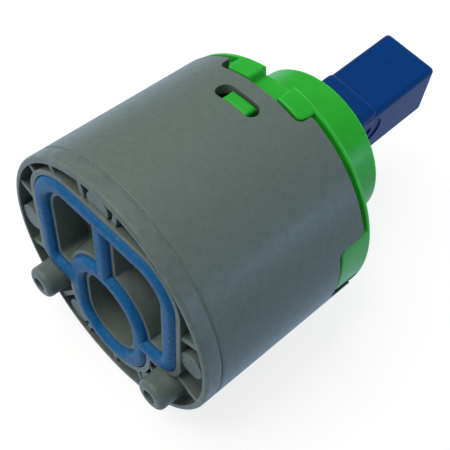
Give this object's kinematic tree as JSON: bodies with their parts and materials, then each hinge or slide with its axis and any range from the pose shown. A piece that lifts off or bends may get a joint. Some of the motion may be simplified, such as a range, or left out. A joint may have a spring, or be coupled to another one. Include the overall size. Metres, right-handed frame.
{
  "type": "faucet cartridge",
  "caption": "Single-lever ceramic-disc faucet cartridge with a ported, sealed base, a round body, a keyed clip-in cover and a square lever stem that turns and tilts.",
  "frame": {"origin": "middle of the base face, on the cartridge's axis; the pegs and the seal's crest stand out of it towards -X", "axes": "+X along the cartridge's axis, from the base face to the lever; +Z through the upper snap window, on the side of the two inlets; +Y completes the right-handed set. The part lies on its side, as pictured"},
  "size_m": [0.0657, 0.04, 0.04],
  "materials": {
    "housing_plastic": "moulded, satin",
    "blue_seal_rubber": "moulded silicone, satin",
    "black_seal_rubber": "moulded, matt",
    "disc_ceramic": "lapped",
    "screen_steel": "etched sheet",
    "carrier_acetal": "moulded, satin",
    "slide_acetal": "moulded, smooth",
    "rotor_acetal": "moulded, satin",
    "pin_steel": "ground",
    "green_cover_plastic": "moulded, glossy",
    "navy_lever_plastic": "moulded, satin",
    "ball_acetal": "moulded, smooth"
  },
  "bodies": {
    "root": {"housing_shell": "housing_plastic", "base_plate": "housing_plastic", "base_seal": "blue_seal_rubber", "inlet_seal_left": "black_seal_rubber", "inlet_seal_right": "black_seal_rubber", "outlet_seal": "black_seal_rubber", "base_o_ring": "black_seal_rubber", "fixed_disc": "disc_ceramic", "thrust_ring": "slide_acetal", "top_cover": "green_cover_plastic"},
    "rotor": {"rotor_guide": "rotor_acetal", "slide_plate": "slide_acetal", "neck_o_ring": "black_seal_rubber", "lever_pin": "pin_steel"},
    "lever": {"lever": "navy_lever_plastic", "ball_cap": "ball_acetal"},
    "carrier": {"disc_carrier": "carrier_acetal", "moving_disc": "disc_ceramic", "carrier_seal": "black_seal_rubber", "noise_screen": "screen_steel"}
  },
  "joints": [
    {"name": "rotor_turn", "type": "hinge", "parent": "root", "child": "rotor", "pos_m": [0, 0, 0], "axis": [1, 0, 0], "range_deg": [-57, 43]},
    {"name": "lever_tilt", "type": "hinge", "parent": "rotor", "child": "lever", "pos_m": [0.033, 0, 0], "axis": [0, -0.9925, -0.1219], "range_deg": [-18, 7]},
    {"name": "carrier_slide", "type": "slide", "parent": "rotor", "child": "carrier", "axis": [0, -0.1219, 0.9925], "range_m": [-0.0017, 0.0043]}
  ],
  "couplings": [
    {"joint": "carrier_slide", "follows": "lever_tilt", "m_per_rad": -0.0133}
  ]
}
